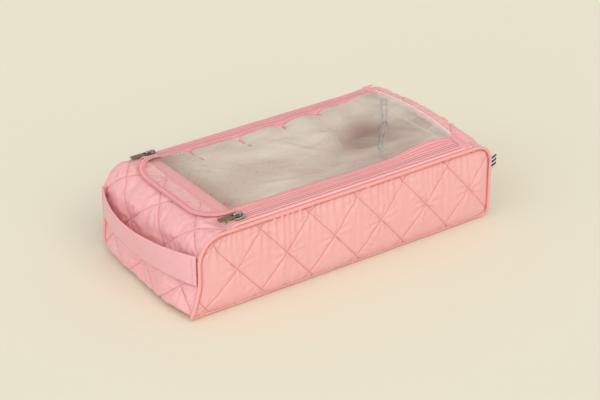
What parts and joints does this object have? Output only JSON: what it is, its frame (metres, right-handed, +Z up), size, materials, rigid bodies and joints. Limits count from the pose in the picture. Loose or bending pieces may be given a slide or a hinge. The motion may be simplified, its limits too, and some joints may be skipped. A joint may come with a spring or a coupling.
{
  "type": "makeup bag",
  "caption": "Long low quilted makeup bag with a clear lid flap closed by zips along both long sides, piped seams and a wide strap across one end.",
  "frame": {"origin": "middle of the flat base, on the surface it stands on", "axes": "+X along the length towards the tag end (the strap is at -X), -Y towards the near long side, +Z up"},
  "size_m": [0.3661, 0.174, 0.0924],
  "materials": {
    "quilt_side": "quilted satin",
    "quilt_end": "quilted satin",
    "hem": "folded and stitched",
    "lining": "smooth woven",
    "piping": "cord wrapped in satin",
    "zip_tape": "woven",
    "zip_coil": "moulded nylon",
    "zip_metal": "plated",
    "zip_pull": "plated",
    "strap": "woven satin",
    "tag": "woven ribbon",
    "film": "clear soft film",
    "binding": "woven tape"
  },
  "bodies": {
    "bag": {"side_panel_near": "quilt_side", "side_panel_far": "quilt_side", "end_panel_front": "quilt_end", "end_panel_back": "quilt_end", "base_panel": "quilt_end", "front_hem_band": "hem", "lining_near": "lining", "lining_far": "lining", "lining_front": "lining", "lining_back": "lining", "lining_base": "lining", "piping_near": "piping", "piping_far": "piping", "zip_tape_outer_near": "zip_tape", "zip_tape_outer_far": "zip_tape", "zip_coil_outer_near": "zip_coil", "zip_coil_outer_far": "zip_coil", "zip_stop_near": "zip_metal", "zip_stop_far": "zip_metal", "zip_end_tab_near": "hem", "zip_end_tab_far": "hem", "handle_strap": "strap", "tag_loop": "tag"},
    "flap": {"window_film": "film", "flap_binding": "binding", "flap_border_near": "binding", "flap_border_far": "binding", "zip_tape_inner_near": "zip_tape", "zip_tape_inner_far": "zip_tape", "zip_coil_inner_near": "zip_coil", "zip_coil_inner_far": "zip_coil"},
    "slider_near": {"slider_near": "zip_metal", "slider_bridge_near": "zip_metal"},
    "slider_far": {"slider_far": "zip_metal", "slider_bridge_far": "zip_metal"},
    "pull_near": {"pull_tab_near": "zip_pull"},
    "pull_far": {"pull_tab_far": "zip_pull"}
  },
  "joints": [
    {"name": "flap_fold", "type": "hinge", "parent": "bag", "child": "flap", "pos_m": [0.138, 0, 0.0889], "axis": [0, 1, 0], "range_deg": [0, 150], "deforming": ["zip_tape_inner_near", "zip_tape_inner_far", "zip_coil_inner_near", "zip_coil_inner_far"]},
    {"name": "zip_near_slide", "type": "slide", "parent": "bag", "child": "slider_near", "axis": [1, 0, 0], "range_m": [0, 0.243]},
    {"name": "pull_near_swing", "type": "hinge", "parent": "slider_near", "child": "pull_near", "pos_m": [-0.12, -0.0755, 0.0902], "axis": [0, 1, 0], "range_deg": [0, 175]},
    {"name": "zip_far_slide", "type": "slide", "parent": "bag", "child": "slider_far", "axis": [1, 0, 0], "range_m": [0, 0.243]},
    {"name": "pull_far_swing", "type": "hinge", "parent": "slider_far", "child": "pull_far", "pos_m": [-0.12, 0.0755, 0.0902], "axis": [0, 1, 0], "range_deg": [0, 175]}
  ]
}
